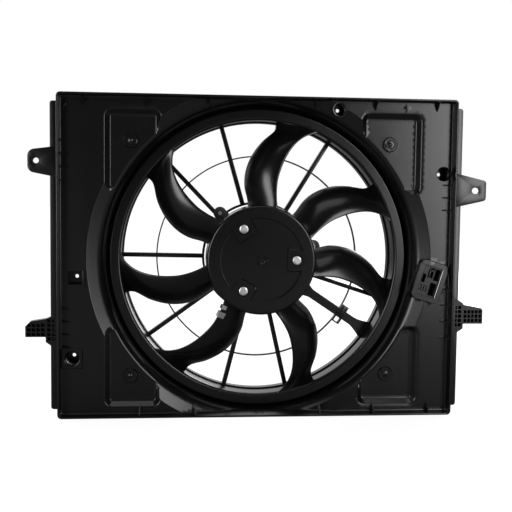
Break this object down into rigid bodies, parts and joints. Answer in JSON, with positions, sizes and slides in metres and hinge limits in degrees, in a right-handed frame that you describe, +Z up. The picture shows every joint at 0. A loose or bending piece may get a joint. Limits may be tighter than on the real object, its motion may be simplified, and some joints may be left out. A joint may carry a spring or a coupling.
{
  "type": "radiator cooling fan",
  "caption": "Moulded radiator fan module: rectangular shroud with mounting ears and feet, round collar, ringed fan with swept blades and an external-rotor motor on a spoked carrier.",
  "frame": {"origin": "on the fan axis, in the plane of the rim that seats against the radiator", "axes": "+Y along the fan axis away from the radiator, +X to the right seen from the radiator side, +Z up"},
  "size_m": [0.6775, 0.112, 0.4705],
  "materials": {
    "shroud_plastic": "semi-gloss moulded glass-filled plastic",
    "connector_plastic": "matt moulded plastic",
    "cast_aluminium": "die cast",
    "breather_plastic": "matt moulded plastic",
    "gasket_rubber": "matt rubber",
    "board_laminate": "coated laminate",
    "lamination_steel": "stacked steel sheet",
    "copper_wire": "enamelled copper",
    "bearing_steel": "ground steel",
    "screw_steel": "zinc plated",
    "sleeve_steel": "plain steel",
    "fan_plastic": "semi-gloss moulded plastic",
    "rotor_steel": "drawn steel",
    "ferrite": "sintered ferrite",
    "shaft_steel": "ground steel",
    "clip_steel": "bright spring steel"
  },
  "bodies": {
    "module": {"shroud": "shroud_plastic", "rear_ribs": "shroud_plastic", "rim_top": "shroud_plastic", "rim_bottom": "shroud_plastic", "rim_left": "shroud_plastic", "rim_right": "shroud_plastic", "fan_collar": "shroud_plastic", "stator_ring": "shroud_plastic", "tab_sockets": "shroud_plastic", "mounting_ears": "shroud_plastic", "support_feet": "shroud_plastic", "motor_ring": "shroud_plastic", "spokes": "shroud_plastic", "wiring_spoke": "shroud_plastic", "guard_ring": "shroud_plastic", "connector_housing": "connector_plastic", "motor_housing": "cast_aluminium", "motor_cover": "cast_aluminium", "motor_socket": "connector_plastic", "breather_plug": "breather_plastic", "cover_gasket": "gasket_rubber", "circuit_board": "board_laminate", "stator_core": "lamination_steel", "stator_windings": "copper_wire", "front_bearing": "bearing_steel", "rear_bearing": "bearing_steel", "cover_screws": "screw_steel", "motor_mount_screws": "screw_steel", "mount_sleeves": "sleeve_steel"},
    "fan": {"fan_hub": "fan_plastic", "fan_blades": "fan_plastic", "fan_ring": "fan_plastic", "rotor_cup": "rotor_steel", "rotor_magnets": "ferrite", "rotor_shaft": "shaft_steel", "retaining_ring": "shaft_steel", "hub_screws": "screw_steel", "balance_clip_small": "clip_steel", "balance_clip_large": "clip_steel"}
  },
  "joints": [
    {"name": "fan_spin", "type": "hinge", "parent": "module", "child": "fan", "pos_m": [0, 0, 0], "axis": [0, 1, 0], "continuous": true}
  ]
}
